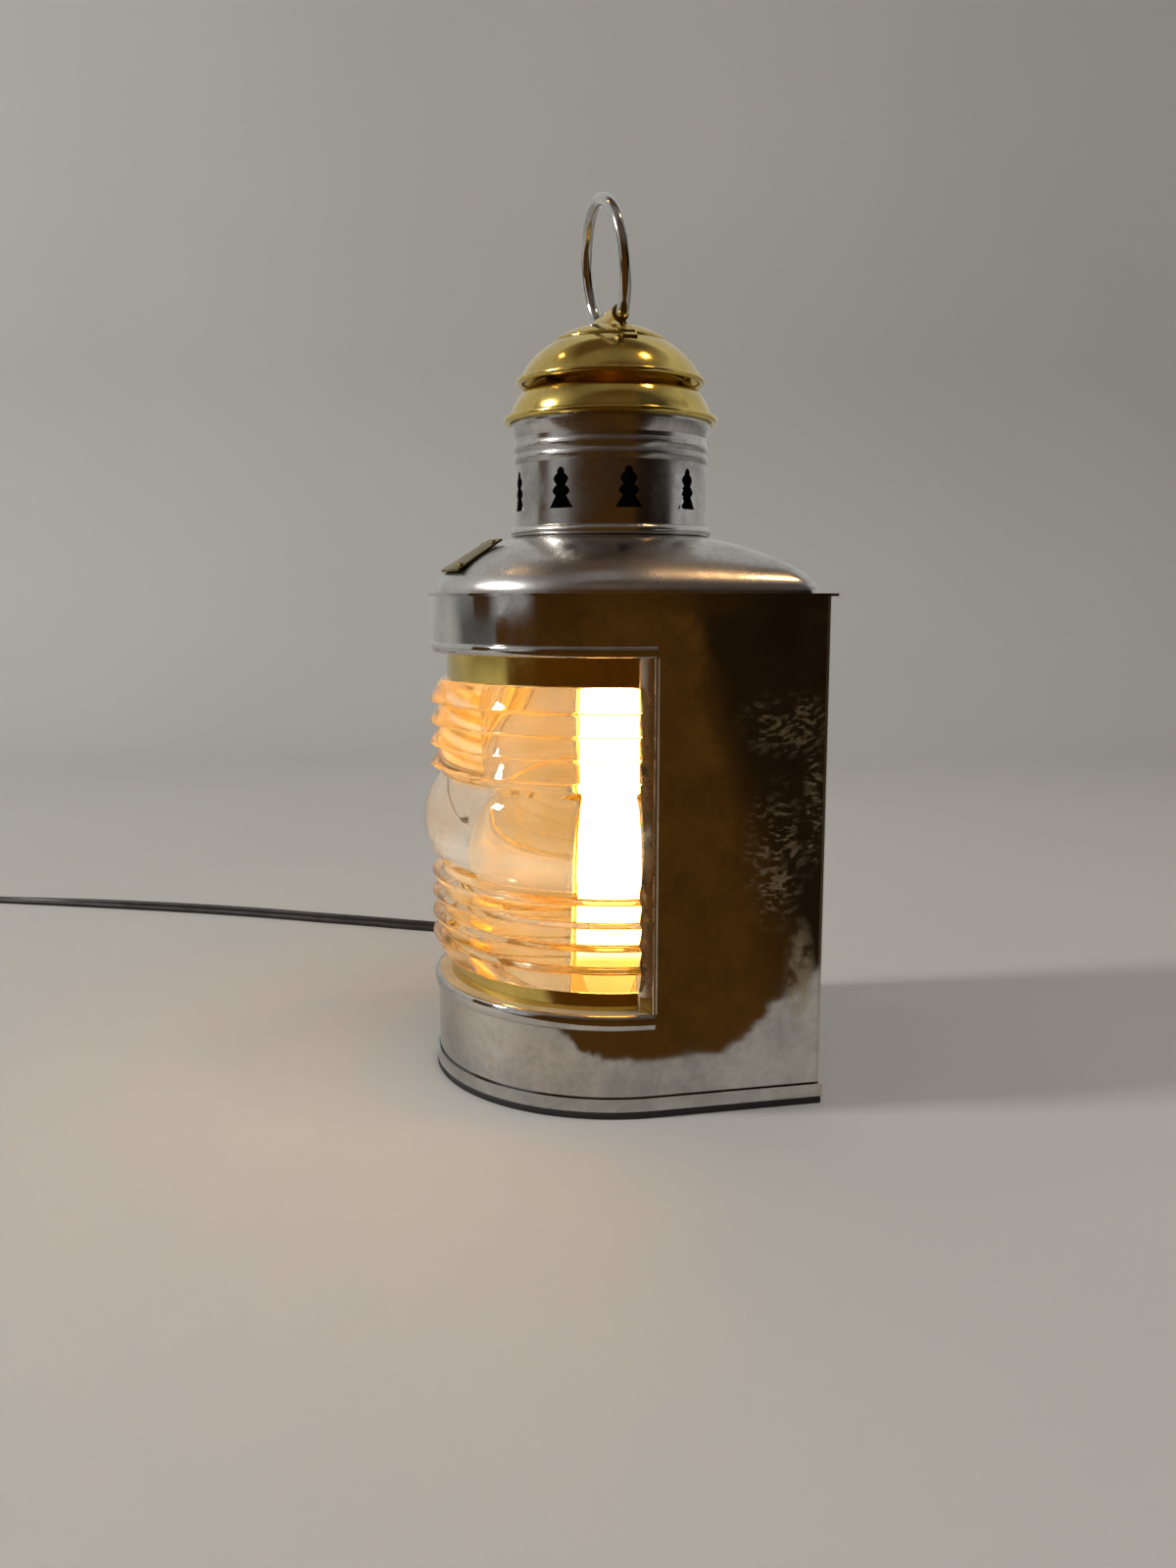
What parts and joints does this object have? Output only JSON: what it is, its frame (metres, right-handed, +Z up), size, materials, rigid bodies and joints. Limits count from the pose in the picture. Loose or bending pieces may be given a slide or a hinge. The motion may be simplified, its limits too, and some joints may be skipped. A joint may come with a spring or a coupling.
{
  "type": "masthead lantern",
  "caption": "Half-round masthead lantern with a ribbed glass lens, vented chimney under a brass cap, swinging carrying ring and an electric lamp fed by a flat cord.",
  "frame": {"origin": "on the lamp axis, on the surface that the pad stands on", "axes": "+Z up, -Y towards the lens (front), +X to the port side"},
  "size_m": [0.4219, 0.4775, 0.3263],
  "materials": {
    "steel": "worn bright tinned steel, smudged",
    "brass": "polished, lightly tarnished",
    "lens_glass": "clear pressed glass",
    "bulb_glass": "frosted, lit",
    "rubber": "matt",
    "phenolic": "dull black",
    "cord_pvc": "satin dark brown",
    "putty": "matt",
    "tungsten": "bright wire"
  },
  "bodies": {
    "base": {"base_pad": "rubber", "base_pan": "steel", "lamp_bracket": "steel", "bracket_screws": "steel", "socket_stud": "brass", "stud_nut": "brass", "socket_shell": "phenolic", "socket_liner": "brass", "bulb_base": "brass", "bulb_glass": "bulb_glass", "bulb_filament": "tungsten", "inner_lead": "cord_pvc", "cord_bushing": "rubber", "lamp_cord": "cord_pvc", "cord_coil": "cord_pvc", "cord_tie": "cord_pvc", "plug_body": "cord_pvc", "plug_blades": "brass"},
    "housing": {"body_shell": "steel", "window_sill": "steel", "window_head": "steel", "jamb_port": "steel", "jamb_starboard": "steel", "top_plate": "steel", "shoulder_dome": "steel", "neck_ring": "steel", "chimney": "steel", "inner_flue": "steel", "mast_bracket": "steel", "bracket_rivets": "steel", "lens_band_lower": "brass", "lens_band_upper": "brass", "band_tabs": "brass", "name_plate": "brass", "name_rivets": "brass", "vent_skirt": "brass", "vent_cap": "brass", "cap_stays": "brass", "ring_lug": "brass", "lens": "lens_glass", "lens_seal_lower": "putty", "lens_seal_upper": "putty"},
    "ring": {"carry_ring": "steel"}
  },
  "joints": [
    {"name": "housing_lift", "type": "slide", "parent": "base", "child": "housing", "axis": [0, 0, 1], "range_m": [0, 0.155]},
    {"name": "ring_swing", "type": "hinge", "parent": "housing", "child": "ring", "pos_m": [0, 0, 0.28296], "axis": [0.9986, 0.0523, 0], "range_deg": [-125, 111]}
  ]
}
